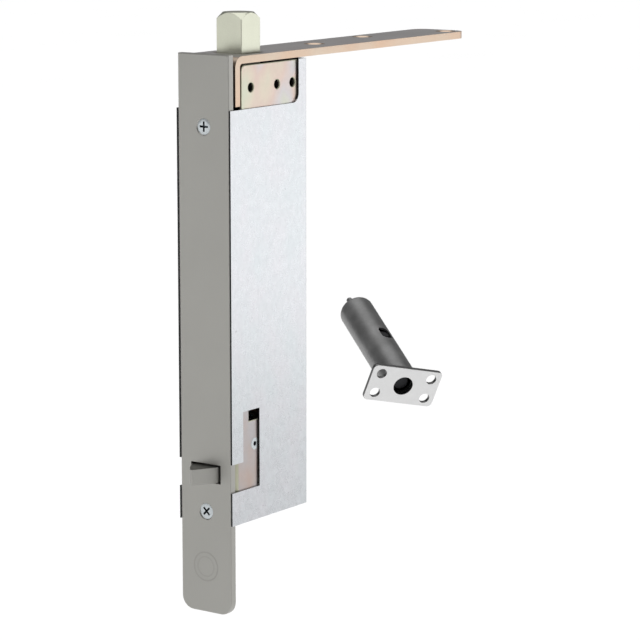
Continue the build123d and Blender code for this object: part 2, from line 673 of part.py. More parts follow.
# ---------------------------------------------------------------- fire bolt
def fire_place(shape):
    """Move a piece from the fire bolt's own frame to its place beside the main unit."""
    frame = Plane(origin=FIRE_AT, x_dir=FIRE_X_DIR, z_dir=FIRE_Z_DIR)
    return frame.location * shape


def fire_plate():
    plate = block(-FIRE_PLATE_X / 2, FIRE_PLATE_X / 2, -FIRE_PLATE_Y / 2, FIRE_PLATE_Y / 2, -FIRE_PLATE_T, 0)
    plate = fillet(plate.edges().filter_by(Axis.Z), FIRE_PLATE_R)
    plate = chamfer(plate.faces().sort_by(Axis.Z)[-1].outer_wire().edges(), 0.2)
    plate -= rod_z(FIRE_MOUTH_D / 2, -5, 5, 0, 0)
    for x in (-1, 1):
        for y in (-1, 1):
            plate -= rod_z(FIRE_HOLE_D / 2, -5, 5, x * FIRE_HOLE_X / 2, y * FIRE_HOLE_Y / 2)
    return fire_place(plate)


def fire_tube():
    top = -FIRE_PLATE_T - SLIP
    low = -FIRE_LEN + FIRE_CAP_T + SLIP
    tube = rod_z(FIRE_TUBE_D / 2, low, top, 0, 0)
    tube -= rod_z(FIRE_TUBE_D / 2 - FIRE_TUBE_WALL, low - 1, top - 1.6, 0, 0)
    tube -= rod_z(FIRE_MOUTH_D / 2, top - 3, top + 1, 0, 0)
    half = (FIRE_SLOT_L - FIRE_SLOT_W) / 2
    cut = block(3, 12, -FIRE_SLOT_W / 2, FIRE_SLOT_W / 2, -half, half)
    for end in (-half, half):
        cut += Pos(7.5, 0, end) * Rot(0, 90, 0) * Cylinder(FIRE_SLOT_W / 2, 9)
    tube -= Rot(0, 0, FIRE_SLOT_DEG) * Pos(0, 0, -FIRE_SLOT_AT) * cut
    return fire_place(tube)


def fire_cap():
    low = -FIRE_LEN
    cap = rod_z(FIRE_TUBE_D / 2, low, low + FIRE_CAP_T, 0, 0)
    cap = fillet(cap.edges().filter_by(GeomType.CIRCLE).sort_by(Axis.Z)[0], FIRE_CAP_R)
    spigot = FIRE_TUBE_D / 2 - FIRE_TUBE_WALL - SLIP
    cap += rod_z(spigot, low + FIRE_CAP_T, low + FIRE_CAP_T + 3.0, 0, 0)
    return fire_place(cap - rod_z(FIRE_TAIL_D / 2 + RUN, low - 5, low + 20, 0, 0))


def fire_fuse():
    """The fusible pellet that shows in the slot of the tube."""
    inner = FIRE_PIN_D / 2 + GAP
    pellet = Pos(0, 0, 0) * Rot(0, 90, 0) * Cylinder(FIRE_SLOT_W / 2 - 0.5, FIRE_TUBE_D / 2 - 0.9 - inner)
    pellet = Pos((inner + FIRE_TUBE_D / 2 - 0.9) / 2, 0, 0) * pellet
    arm = block(inner, inner + 1.2, -1.1, 1.1, -FIRE_SLOT_L / 2 + 0.5, FIRE_SLOT_L / 2 - 0.5)
    return fire_place(Rot(0, 0, FIRE_SLOT_DEG) * Pos(0, 0, -FIRE_SLOT_AT) * (pellet + arm))


def fire_pin():
    top = -FIRE_PIN_RECESS
    pin = rod_z(FIRE_PIN_D / 2, top - FIRE_PIN_LEN, top, 0, 0)
    pin = chamfer(pin.edges().filter_by(GeomType.CIRCLE).sort_by(Axis.Z)[-1], 1.2)
    tail = rod_z(FIRE_TAIL_D / 2, -FIRE_LEN - FIRE_TAIL_OUT, top - FIRE_PIN_LEN, 0, 0)
    tail = chamfer(tail.edges().filter_by(GeomType.CIRCLE).sort_by(Axis.Z)[0], 0.4)
    return fire_place(pin + tail)


def fire_spring():
    low = -FIRE_LEN + FIRE_CAP_T + 3.0 + SPRING_END_GAP
    top = -FIRE_PIN_RECESS - FIRE_PIN_LEN - GAP
    return fire_place(coil(FIRE_SPRING_R, FIRE_SPRING_WIRE, FIRE_SPRING_TURNS, low, top, 0, 0))


# ---------------------------------------------------------------- write the pieces
def main():
    save(face_plate(), "face_plate")
    save(case_shell(), "case_shell")
    save(strap(), "top_strap")
    save(guide_bracket(), "guide_bracket")
    save(guide_block(), "guide_block")
    for which in SCREW_DROPS:
        save(face_screw(which), "face_screw_" + which)
        save(screw_tab(which), "screw_tab_" + which)
    for side, word in ((-1, "near"), (1, "far")):
        save(leg_screw(side), "leg_screw_" + word)
        save(crank_plate(side), "crank_plate_" + word)
    names = ("guide_rivet_near", "guide_rivet_far", "seat_rivet_near", "seat_rivet_far",
             "crank_rivet_upper", "crank_rivet_lower")
    for name, (y, z) in zip(names, back_rivet_places()):
        save(dome_rivet(CASE_D, BACK_IN - 2.4, y, z), name)
    save(bolt_head(), "bolt_head")
    save(bolt_rod(), "bolt_rod")
    save(cross_pin(), "cross_pin")
    save(hex_nut(BOLT_TOP - BOLT_LEN - NUT_T - SLIP), "rod_nut_upper")
    save(hex_nut(drop(YOKE_TOP_DROP) + SLIP), "rod_nut_lower")
    save(spring_collar(), "spring_collar")
    save(collar_clip(), "collar_clip")
    save(bolt_spring(), "bolt_spring")
    save(spring_seat(), "spring_seat")
    save(rod_yoke(), "rod_yoke")
    save(crank_hub(), "crank_hub")
    save(crank_rod_pin(), "crank_rod_pin")
    save(crank_trigger_pin(), "crank_trigger_pin")
    save(crank_bracket(), "crank_bracket")
    save(crank_pivot_pin(), "crank_pivot_pin")
    save(pivot_clip(), "pivot_clip")
    save(trigger(), "trigger")
    save(trigger_slide(), "trigger_slide")
    save(trigger_screw(), "trigger_screw")
    save(trigger_frame(), "trigger_frame")
    save(frame_spacer(), "frame_spacer")
    save(fire_plate(), "fire_plate")
    save(fire_tube(), "fire_tube")
    save(fire_cap(), "fire_cap")
    save(fire_fuse(), "fire_fuse")
    save(fire_pin(), "fire_pin")
    save(fire_spring(), "fire_spring")


main()
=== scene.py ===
"""Looks for a constant-latching flush bolt and its separate fire bolt, laid out as an add-on."""

import json
import math

import bpy
from bpy.props import FloatProperty, FloatVectorProperty, IntProperty, PointerProperty
from bpy.types import Operator, Panel, PropertyGroup
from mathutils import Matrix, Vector


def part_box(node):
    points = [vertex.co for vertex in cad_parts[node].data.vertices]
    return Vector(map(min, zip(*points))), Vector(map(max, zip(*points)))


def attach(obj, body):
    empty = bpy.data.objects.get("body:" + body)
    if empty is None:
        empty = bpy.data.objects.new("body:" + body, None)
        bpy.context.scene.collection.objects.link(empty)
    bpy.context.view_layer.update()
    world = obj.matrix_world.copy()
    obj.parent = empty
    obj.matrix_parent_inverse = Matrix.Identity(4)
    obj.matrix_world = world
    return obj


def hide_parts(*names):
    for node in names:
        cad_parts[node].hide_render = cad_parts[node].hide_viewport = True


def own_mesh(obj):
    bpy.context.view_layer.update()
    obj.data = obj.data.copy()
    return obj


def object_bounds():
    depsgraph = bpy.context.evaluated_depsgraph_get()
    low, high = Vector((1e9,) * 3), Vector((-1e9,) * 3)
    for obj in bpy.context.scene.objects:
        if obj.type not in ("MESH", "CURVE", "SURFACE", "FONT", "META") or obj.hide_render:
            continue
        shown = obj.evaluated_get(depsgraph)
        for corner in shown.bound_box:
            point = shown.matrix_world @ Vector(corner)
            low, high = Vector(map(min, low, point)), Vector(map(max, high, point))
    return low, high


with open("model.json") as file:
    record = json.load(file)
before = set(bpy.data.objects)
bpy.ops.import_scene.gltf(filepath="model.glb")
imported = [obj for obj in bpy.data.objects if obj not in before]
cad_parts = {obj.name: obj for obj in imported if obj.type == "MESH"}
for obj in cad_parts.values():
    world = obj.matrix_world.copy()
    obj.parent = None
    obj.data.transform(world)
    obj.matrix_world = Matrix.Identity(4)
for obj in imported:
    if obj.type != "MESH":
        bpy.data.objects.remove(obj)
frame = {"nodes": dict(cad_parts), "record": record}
CAD_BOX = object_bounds()

bl_info = {
    "name": "Flush bolt finishes",
    "version": (1, 0, 0),
    "blender": (4, 5, 0),
    "location": "View3D > Sidebar > Flush bolt",
    "description": "Builds the finishes and fine pieces of a flush bolt around its CAD frame",
    "category": "Object",
}

NODES = frame["nodes"]
BEHAVIOUR = frame["record"]["behaviour"]
BODY_OF = {node: body for body, nodes in BEHAVIOUR["bodies"].items() for node in nodes}
SLOT_OF = {row["node"]: row["material_slot"] for row in frame["record"]["subparts"]}
JOINTS = {row["name"]: row for row in BEHAVIOUR["joints"]}

MM = 0.001

# joining and rounding the meshes
JOIN_WITHIN = 0.000002              # corners closer than this become one
FLAT_WITHIN = math.radians(0.6)     # triangles this level with each other become one face
SHARP_ABOVE = math.radians(38)      # edges sharper than this are rounded
SMOOTH_BELOW = math.radians(32)     # edges softer than this are shaded smooth
FACE_WEIGHT = 80                    # how strongly large faces set the shading beside them
TURNED_SIDES = 48
NARROWED = (1.0, 0.45, 0.75)        # the deep end of a cutting bar against its wide end

# how squarely a face has to look along a direction, as the cosine of its lean
SQUARE = 0.9
LOOKS_FORWARD = 0.75
LOOKS_OUT = 0.55
BENT = 0.25
LEVEL = 0.97

# patches and marks in the finishes, in metres
CLOUDS = 0.03
WANDER = 0.006
WANDER_BY = (0.002, 0.002, 0.002)
SHEET_PATCHES = 0.012
SHEET_FLECKS = 0.0019
SHEET_FINE = 0.0008
ZINC_FINE = 0.0012
ZINC_SCUFFS = 0.004
TUBE_SMUDGES = 0.009
METAL_FINE = 0.0009
FINE_RELIEF = 0.00002
TUBE_RELIEF = 0.00003
PLATE_RELIEF = 0.00004
RING_LINE = 0.32 * MM
INNER_RING = 0.68                   # radius of the inner ring against the outer

# how marks are drawn out along X, Y and Z: a smaller number is longer
BRUSHED = (1.0, 1.0, 0.12)
TALL = (1.0, 1.0, 0.6)
TALLISH = (1.0, 1.0, 0.7)
SWEPT = (0.15, 1.0, 1.0)

# tints of the case's cool and warm patches
COOL = (0.985, 1.004, 1.0)
WARM = (1.02, 1.0, 1.004)

# the fire bolt's pin is thin from here back, measured from the middle of its plate
TAIL_FROM = 44.0 * MM

# stage
FLOOR_ACROSS = 60.0
FLOOR_WHITE = (0.92, 0.92, 0.92, 1.0)
FLOOR_GRAIN = 0.3
WHITE = (1.0, 1.0, 1.0, 1.0)
SUN_AT = (0.0, 0.0, 2.0)
SENSOR_WIDTH = 36.0
CLEAR_TO = 100.0


def insist(fine, problem):
    """Stop the step that is running if it can't finish."""
    if not fine:
        raise RuntimeError(problem)


# ---------------------------------------------------------------- what a user would change
def colour(label, what, default):
    """A linear colour setting."""
    return FloatVectorProperty(
        name=label, description=what, default=default, size=3, min=0.0, max=1.0, subtype="COLOR")


def length(label, what, default):
    """A small length setting in metres."""
    return FloatProperty(name=label, description=what, default=default, min=0.0, unit="LENGTH", precision=5)


class FinishSettings(PropertyGroup):
    """Colours and grain of the metal finishes."""

    plate: colour("Face plate", "Satin metal of the face plate and the trigger", (0.365, 0.36, 0.338))
    galvanised: colour("Galvanised", "Sheet of the case", (0.53, 0.545, 0.565))
    # Cut edge: near-black, partly the bare sheet's own cut edge and partly painted shadow of the gap beside
    # the face plate
    raw_edge: colour("Cut edge", "Bare cut edges of the sheet that face the door's edge", (0.03, 0.03, 0.03))
    zinc_gold: colour("Zinc, gold", "Yellow end of the iridescent plating", (0.57, 0.505, 0.42))
    zinc_pink: colour("Zinc, pink", "Pink end of the iridescent plating", (0.565, 0.455, 0.405))
    zinc_green: colour("Zinc, green", "Green end of the iridescent plating", (0.515, 0.535, 0.43))
    zinc_lilac: colour("Zinc, lilac", "Lilac grey of the iridescent plating", (0.52, 0.495, 0.50))
    strap_edge: colour("Strap edge", "Rosy gold of the strap's edges", (0.575, 0.385, 0.27))
    # Zinc, rims: the pale colour is a painted highlight where light catches hole rims and bends
    zinc_rim: colour("Zinc, rims", "Pale plating round the holes and along the bends", (0.50, 0.50, 0.37))
    strap_face: colour("Strap face", "Grey plating of the strap's flat sides", (0.66, 0.65, 0.655))
    bolt: colour("Bolt", "Pale plating of the square bolt", (0.56, 0.57, 0.47))
    bright: colour("Bright zinc", "Screws, rivets, nuts and pins", (0.50, 0.535, 0.55))
    # Recess: the darker metal in the screw's cross is painted shade of the deep recess
    recess: colour("Recess", "Darker metal down in the cross of a screw", (0.10, 0.115, 0.13))
    tube: colour("Tube", "Dull steel of the fire bolt's tube", (0.255, 0.255, 0.255))
    light_plate: colour("Small plate", "Satin plate of the fire bolt", (0.66, 0.66, 0.66))
    brass: colour("Bearing metal", "Crank hub", (0.62, 0.46, 0.20))
    # Guide block: near-black chosen so the block seen through the guide bracket's holes reads as painted
    # shade; the block's own colour is not known
    nylon: colour("Guide block", "Black plastic that the bolt slides in", (0.012, 0.012, 0.012))
    wire: colour("Spring wire", "Springs and clips", (0.33, 0.34, 0.36))
    dark_pin: colour("Dark steel", "The fire bolt's pin and the small leg screws", (0.030, 0.030, 0.032))
    fuse: colour("Fuse", "The fusible piece in the fire bolt", (0.05, 0.05, 0.053))
    spangle: length("Spangle", "Size of the crystals in the galvanised sheet", 0.0028)
    bloom: length("Bloom", "Size of the colour patches in the zinc plating", 0.016)
    grain: length("Grain", "Spacing of the fine grain in the satin metal", 0.0004)
    speck_gap: length("Specks", "Spacing of the small dull specks in the galvanised sheet", 0.0034)
    mark_radius: length("Mark", "Radius of the plain double ring low on the face plate", 0.0060)
    mark_across: FloatProperty(name="Mark across", description="Sideways place of the double ring",
                               default=0.0003, unit="LENGTH", precision=5)
    mark_height: FloatProperty(name="Mark height", description="Height of the double ring's middle",
                               default=-0.2055, unit="LENGTH", precision=5)


class EdgeSettings(PropertyGroup):
    """How far the edges of the pieces are broken."""

    sheet: length("Sheet edge", "Rounding of cut sheet edges", 0.00012)
    guide: length("Guide edge", "Rounding of the guide bracket's edges and holes", 0.00035)
    strap: length("Strap edge", "Rounding of the thick strap's edges", 0.0003)
    block: length("Block edge", "Rounding of machined edges", 0.0002)
    segments: IntProperty(name="Edge segments", description="Steps across a rounded edge",
                          default=2, min=1, max=4)


class ScrewSettings(PropertyGroup):
    """The face screws."""

    recess_width: length("Recess", "Length of each arm of the cross, end to end", 0.0048)
    recess_depth: length("Depth", "Depth of the cross", 0.0014)
    arm: length("Arm", "Width of each arm of the cross", 0.0012)
    cone_depth: length("Cone", "Height of the countersunk cone", 0.0024)
    shank: length("Shank", "Outside diameter of the thread", 0.0041)
    pitch: length("Pitch", "Distance from one ridge of the thread to the next", 0.0008)
    ridge: length("Ridge", "Height of the thread's ridges", 0.0003)


class StageSettings(PropertyGroup):
    """Camera and light."""

    azimuth: FloatProperty(name="Azimuth", description="Turn of the camera round the object",
                           default=math.radians(-54.55), subtype="ANGLE")
    elevation: FloatProperty(name="Elevation", description="Height of the camera above level",
                             default=math.radians(10.14), subtype="ANGLE")
    distance: FloatProperty(name="Distance", description="From the camera to the point it looks at",
                            default=1.0963, unit="LENGTH")
    look_at: FloatVectorProperty(name="Look at", description="The point in the middle of the picture",
                                 default=(0.0060, -0.0527, -0.0985), subtype="TRANSLATION")
    lens: FloatProperty(name="Lens", description="Focal length", default=156.8, unit="CAMERA")
    floor_drop: FloatProperty(name="Floor", description="Gap between the object and the floor",
                              default=0.45, unit="LENGTH")
    surround: FloatProperty(name="Surround", description="Strength of the even grey light", default=0.26)
    overhead: FloatProperty(name="Overhead", description="Strength of the soft light from above",
                            default=2.75)
    overhead_spread: FloatProperty(name="Overhead spread", description="Width of the light from above",
                                   default=math.radians(70), subtype="ANGLE")
    overhead_shine: FloatProperty(name="Overhead shine", description="Share of it that metal reflects",
                                  default=0.45, subtype="FACTOR")
    key: FloatProperty(name="Key", description="Power of the soft box beside the case",
                       default=0.9, unit="POWER")
    key_at: FloatVectorProperty(name="Key place", description="Where the key stands",
                                default=(0.95, -0.70, -0.08), subtype="TRANSLATION")
    fill: FloatProperty(name="Fill", description="Power of the soft box beside the face plate", default=0.45,
                        unit="POWER")
    fill_at: FloatVectorProperty(name="Fill place", description="Where the fill stands",
                                 default=(-0.98, 0.68, -0.02), subtype="TRANSLATION")
    box_width: FloatProperty(name="Soft box width", description="Width of each soft box", default=0.7,
                             unit="LENGTH")
    box_height: FloatProperty(name="Soft box height", description="Height of each soft box", default=0.56,
                              unit="LENGTH")


# ---------------------------------------------------------------- shader sums
def plug(tree, socket, value):
    """Set a socket, or join it to another."""
    if isinstance(value, Flow):
        tree.links.new(value.socket, socket)
    elif hasattr(socket.default_value, "__len__") and hasattr(value, "__len__"):
        size = len(socket.default_value)
        socket.default_value = tuple(value)[:size] if len(value) >= size else tuple(value) + (1.0,)
    else:
        socket.default_value = value


class Flow:
    """A value on its way through a material, which can be used in sums."""

    def __init__(self, tree, socket):
        self.tree = tree
        self.socket = socket

    def math(self, operation, *terms, clamp=False):
        settings = {"operation": operation, "use_clamp": clamp}
        sockets = {f"_{index}": term for index, term in enumerate(terms)}
        return add_node(self.tree, "ShaderNodeMath", settings, **sockets)

    def clamped(self):
        """Kept between 0 and 1."""
        return self.math("ADD", self, 0.0, clamp=True)

    def steeper(self, times):
        """Pushed away from its middle value, then kept between 0 and 1."""
        return ((self - 0.5) * times + 0.5).clamped()

    def also(self, out):
        """Another output of the node that this value comes from."""
        return Flow(self.tree, self.socket.node.outputs[out])

    def __add__(self, other):
        return self.math("ADD", self, other)

    def __sub__(self, other):
        return self.math("SUBTRACT", self, other)

    def __rsub__(self, other):
        return self.math("SUBTRACT", other, self)

    def __mul__(self, other):
        return self.math("MULTIPLY", self, other)

    def __pow__(self, other):
        return self.math("POWER", self, other)

    def __gt__(self, other):
        return self.math("GREATER_THAN", self, other)

    def __lt__(self, other):
        return self.math("LESS_THAN", self, other)

    __radd__ = __add__
    __rmul__ = __mul__


def add_node(tree, kind, settings=None, out=0, **sockets):
    """Add a node: its settings first, then its sockets by name or by number."""
    node = tree.nodes.new(kind)
    for key, value in (settings or {}).items():
        if key == "stops":
            set_stops(node.color_ramp, value)
        else:
            setattr(node, key, value)
    for key, value in sockets.items():
        name = int(key[1:]) if key[0] == "_" else key.replace("_", " ")
        plug(tree, node.inputs[name], value)
    return Flow(tree, node.outputs[out])


def set_stops(ramp, stops):
    """Give a colour ramp its stops."""
    while len(ramp.elements) < len(stops):
        ramp.elements.new(1.0)
    for element, (place, shade) in zip(ramp.elements, stops):
        element.position = place
        element.color = (*shade, 1.0)


class Finish:
    """One metal finish: a Principled shader and what feeds it."""

    def __init__(self, name, metallic=1.0):
        self.material = bpy.data.materials.new(name)
        self.material.use_nodes = True
        self.tree = self.material.node_tree
        self.shader = self.tree.nodes["Principled BSDF"]
        self.shader.inputs["Metallic"].default_value = metallic

    def node(self, kind, settings=None, out=0, **sockets):
        """Add a node to this finish."""
        return add_node(self.tree, kind, settings, out, **sockets)

    def place(self, stretch=(1.0, 1.0, 1.0)):
        """Object coordinates, stretched if wanted."""
        spot = self.node("ShaderNodeTexCoord", out=3)
        return self.node("ShaderNodeMapping", {"vector_type": "POINT"}, Vector=spot, Scale=stretch)

    def noise(self, size, detail=3.0, stretch=(1.0, 1.0, 1.0)):
        """Soft noise with patches of about this size in metres."""
        return self.node("ShaderNodeTexNoise", Vector=self.place(stretch), Scale=1.0 / size, Detail=detail)

    def mix(self, amount, first, second):
        """Blend two colours."""
        settings = {"data_type": "RGBA", "blend_type": "MIX"}
        return self.node("ShaderNodeMix", settings, out=2, _0=amount, _6=first, _7=second)

    def shade(self, amount, shade_colour):
        """A colour made lighter or darker by a number."""
        grey = self.node("ShaderNodeCombineColor", Red=amount, Green=amount, Blue=amount)
        settings = {"data_type": "RGBA", "blend_type": "MULTIPLY"}
        return self.node("ShaderNodeMix", settings, out=2, _0=1.0, _6=shade_colour, _7=grey)

    def vector(self, amount):
        """The same number along X, Y and Z."""
        return self.node("ShaderNodeCombineXYZ", X=amount, Y=amount, Z=amount)

    def bump(self, height, distance, strength=1.0):
        """Fine relief from a height."""
        return self.node("ShaderNodeBump", Height=height, Distance=distance, Strength=strength)

    def feed(self, **sockets):
        """Join the results to the shader."""
        for key, value in sockets.items():
            plug(self.tree, self.shader.inputs[key.replace("_", " ")], value)
        return self.material


def rgb(values):
    """A setting's colour with full alpha."""
    return (values[0], values[1], values[2], 1.0)


def scaled(values, factor):
    """A colour made lighter or darker."""
    return tuple(min(1.0, value * factor) for value in values[:3]) + (1.0,)


def tinted(values, tint):
    """A colour with its red, green and blue each made a little stronger or weaker."""
    return tuple(value * part for value, part in zip(values, tint)) + (1.0,)


# ---------------------------------------------------------------- the finishes
def satin_plate(settings):
    """Fine-grained satin metal with a plain stamped double ring low on the plate."""
    finish = Finish("satin_plate")
    grain = finish.noise(settings.grain, 2.0, BRUSHED)
    cloud = finish.noise(CLOUDS, 2.0)
    spot = finish.node("ShaderNodeSeparateXYZ", Vector=finish.node("ShaderNodeTexCoord", out=3))
    across = spot.also(1) - settings.mark_across
    up = spot.also(2) - settings.mark_height
    radius = (across * across + up * up) ** 0.5
    outer, inner = settings.mark_radius, settings.mark_radius * INNER_RING
    rings = (ring(radius, outer) + ring(radius, inner) * 0.7) * (0.4 + cloud)
    tone = 0.93 + grain * 0.07 + cloud * 0.07 - rings * 0.07
    height = grain * 0.25 - rings
    return finish.feed(
        Base_Color=finish.shade(tone, rgb(settings.plate)),
        Roughness=0.36 + grain * 0.1 + rings * 0.08,
        Normal=finish.bump(height, PLATE_RELIEF, 0.6))


def ring(radius, size):
    """1 on a thin circle of this radius."""
    gap = radius.math("ABSOLUTE", radius - size)
    return gap < RING_LINE


def galvanised_sheet(settings):
    """Bright sheet with a faint spangle, cool and warm patches and small dull specks."""
    finish = Finish("galvanised_sheet")
    wander = finish.noise(WANDER, 2.0)
    spot = finish.node("ShaderNodeVectorMath", {"operation": "MULTIPLY_ADD"},
                       _0=finish.vector(wander), _1=WANDER_BY, _2=finish.place())
    nearest = {"feature": "F1"}
    cells = finish.node("ShaderNodeTexVoronoi", nearest, out=1, Vector=spot, Scale=1 / settings.spangle)
    tone = finish.node("ShaderNodeSeparateColor", Color=cells)
    fine = finish.noise(SHEET_FINE, 3.0)
    flecks = finish.noise(SHEET_FLECKS, 4.0, TALL)
    away = finish.node("ShaderNodeTexVoronoi", nearest, Vector=spot, Scale=1 / settings.speck_gap)
    chance = finish.node("ShaderNodeSeparateColor", Color=away.also(1))
    near = (1.6 - away * (7.0 + chance * 8.0)).clamped()
    specks = near * (chance.also(1) > 0.45) * (0.4 + fine)
    patches = finish.noise(SHEET_PATCHES, 2.0, TALL)
    cool, warm = tinted(settings.galvanised, COOL), tinted(settings.galvanised, WARM)
    value = 0.78 + tone * 0.06 + fine * 0.20 + flecks * 0.20 - specks * 0.24
    return finish.feed(
        Base_Color=finish.shade(value, finish.mix(patches.steeper(3.0), cool, warm)),
        Roughness=0.22 + tone * 0.05 + fine * 0.08 + specks * 0.1,
        Normal=finish.bump(tone * 0.4 + fine - specks * 0.2, FINE_RELIEF, 0.4))


def yellow_zinc(settings):
    """Iridescent yellow plating that drifts between gold, pink, green and lilac."""
    finish = Finish("yellow_zinc")
    bloom = finish.noise(settings.bloom, 1.5, TALLISH)
    stops = [(0.30, settings.zinc_green[:]), (0.42, settings.zinc_gold[:]), (0.52, settings.zinc_pink[:]),
             (0.62, settings.zinc_lilac[:]), (0.72, settings.zinc_green[:])]
    return zinc_grain(finish, finish.node("ShaderNodeValToRGB", {"stops": stops}, Fac=bloom))


def shaded_inner_zinc(settings):
    """Rosier plating of the frame inside the case, made darker as painted shade of the recess it sits in."""
    finish = Finish("shaded_inner_zinc")
    bloom = finish.noise(settings.bloom * 0.6, 1.5, TALL)
    # scaling the pink and lilac down to 0.78 and 0.80 is painted shade of the frame's recess in the case
    rosy, lilac = scaled(settings.zinc_pink, 0.78), scaled(settings.zinc_lilac, 0.80)
    return zinc_grain(finish, finish.mix(bloom.steeper(3.0), rosy, lilac))


def strap_edges(settings):
    """Rosy gold plating on the strap's edges and countersinks."""
    finish = Finish("strap_edges")
    bloom = finish.noise(settings.bloom * 1.4, 1.5)
    shade = finish.mix(bloom, rgb(settings.strap_edge), scaled(settings.zinc_gold, 0.95))
    return zinc_grain(finish, shade)


def strap_faces(settings):
    """Greyer plating on the strap's flat sides, with faint rosy patches."""
    finish = Finish("strap_faces")
    bloom = finish.noise(settings.bloom, 2.0)
    return zinc_grain(finish, finish.mix(bloom * 0.35, rgb(settings.strap_face), rgb(settings.zinc_pink)))


def zinc_grain(finish, shade):
    """Fine marks and scuffs that every yellow zinc finish has."""
    fine = finish.noise(ZINC_FINE, 3.0)
    scuff = finish.noise(ZINC_SCUFFS, 4.0, SWEPT)
    tone = 0.92 + fine * 0.08 + scuff * 0.08
    return finish.feed(
        Base_Color=finish.shade(tone, shade),
        Roughness=0.28 + scuff * 0.12,
        Normal=finish.bump(fine, FINE_RELIEF, 0.5))


def plain_metal(name, shade, rough, grain=METAL_FINE, contrast=0.12, metallic=1.0):
    """A plated or bare metal, or a plastic, with fine marks."""
    finish = Finish(name, metallic)
    fine = finish.noise(grain, 3.0)
    wide = finish.noise(grain * 12, 2.0)
    tone = 1.0 - contrast + fine * contrast + wide * contrast
    return finish.feed(
        Base_Color=finish.shade(tone, rgb(shade)),
        Roughness=rough - 0.05 + fine * 0.1,
        Normal=finish.bump(fine, FINE_RELIEF, 0.5))


def dull_tube(settings):
    """Dull handled steel with darker smudges."""
    finish = Finish("dull_tube")
    smudge = finish.noise(TUBE_SMUDGES, 4.0)
    fine = finish.noise(SHEET_FINE, 3.0)
    tone = 0.45 + smudge * 0.95 + fine * 0.16
    return finish.feed(
        Base_Color=finish.shade(tone, rgb(settings.tube)),
        Roughness=0.36 + smudge * 0.16,
        Normal=finish.bump(fine + smudge * 0.5, TUBE_RELIEF, 0.6))


def make_finishes(settings):
    """Every finish by the name of the record's slot, and more for parts of a piece."""
    return {
        "satin_steel": satin_plate(settings),
        "galvanised": galvanised_sheet(settings),
        "yellow_zinc": yellow_zinc(settings),
        "strap_edges": strap_edges(settings),
        "strap_faces": strap_faces(settings),
        # pale rims and bends are a painted highlight
        "zinc_rim": plain_metal("zinc_rim", settings.zinc_rim, rough=0.40, metallic=0.5),
        # the frame inside the case: its own rosy tint, darkened as painted shade
        "shaded_inner_zinc": shaded_inner_zinc(settings),
        # near-black cut edges: partly bare steel, partly painted shadow of the gap beside the face plate
        "raw_edge": plain_metal("raw_edge", settings.raw_edge, rough=0.45),
        # darker metal in the screw crosses is painted shade
        "recess": plain_metal("recess", settings.recess, rough=0.40),
        "bolt_plate": plain_metal("pale_zinc", settings.bolt, rough=0.30),
        "bright_zinc": plain_metal("bright_zinc", settings.bright, rough=0.28),
        "grey_steel": dull_tube(settings),
        "satin_light": plain_metal("small_plate", settings.light_plate, rough=0.36, grain=0.0005),
        "small_plate_edge": plain_metal("small_plate_edge", scaled(settings.tube, 0.6), rough=0.42),
        "bearing_brass": plain_metal("bearing_metal", settings.brass, rough=0.34),
        # the guide block's near-black is painted shade seen through the bracket's holes
        "guide_nylon": plain_metal("guide_nylon", settings.nylon, rough=0.45, contrast=0.2, metallic=0.0),
        "spring_steel": plain_metal("spring_wire", settings.wire, rough=0.30),
        "dark_steel": plain_metal("dark_pin", settings.dark_pin, rough=0.42),
        "fuse_alloy": plain_metal("fuse_alloy", settings.fuse, rough=0.42),
    }


# ---------------------------------------------------------------- modelling steps
def select_only(*objects):
    """Deselect everything, then select these, the last one active."""
    if bpy.context.object and bpy.context.object.mode != "OBJECT":
        bpy.ops.object.mode_set(mode="OBJECT")
    bpy.ops.object.select_all(action="DESELECT")
    for item in objects:
        item.select_set(True)
        bpy.context.view_layer.objects.active = item


def edit(piece, *steps):
    """Run edit mode steps on the whole of a piece."""
    select_only(piece)
    bpy.ops.object.mode_set(mode="EDIT")
    bpy.ops.mesh.select_all(action="SELECT")
    for step in steps:
        step()
    bpy.ops.object.mode_set(mode="OBJECT")


def modify(piece, kind, **settings):
    """Add a modifier and apply it."""
    select_only(piece)
    modifier = piece.modifiers.new(kind.title(), kind)
    for key, value in settings.items():
        setattr(modifier, key, value)
    bpy.ops.object.modifier_apply(modifier=modifier.name)


def settle(piece):
    """Put a piece's place into its mesh."""
    select_only(piece)
    bpy.ops.object.transform_apply(location=True, rotation=True, scale=True)


def named(name):
    """The object just added, renamed."""
    piece = bpy.context.object
    piece.name = name
    piece.data.name = name
    return piece


def smooth(piece):
    """Smooth shading, except over sharp edges."""
    select_only(piece)
    bpy.ops.object.shade_smooth_by_angle(angle=SMOOTH_BELOW)


def hand_over(piece, node):
    """A finished piece takes its CAD node's body, slot, material and place."""
    slot = SLOT_OF[node]
    piece.data.materials.clear()
    piece.data.materials.append(finishes()[slot])
    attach(piece, BODY_OF[node])
    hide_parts(node)


def coat(piece, finish, test):
    """Give the faces that pass a test of centre and normal another finish."""
    piece.data.materials.append(finishes()[finish])
    index = len(piece.data.materials) - 1
    chosen = [face for face in piece.data.polygons if test(face.center, face.normal)]
    insist(chosen, f"no face of {piece.name} takes the finish {finish}")
    for face in chosen:
        face.material_index = index


def merged_copy(node):
    """A copy of a CAD piece with its loose triangles joined up."""
    insist(node in NODES, f"the frame has no piece called {node}")
    piece = bpy.data.objects.new(node + "_finished", NODES[node].data.copy())
    bpy.context.scene.collection.objects.link(piece)
    select_only(piece)
    bpy.ops.mesh.customdata_custom_splitnormals_clear()
    edit(piece, lambda: bpy.ops.mesh.remove_doubles(threshold=JOIN_WITHIN))
    insist(piece.data.polygons, f"{node} has no faces left once its corners are joined")
    return piece


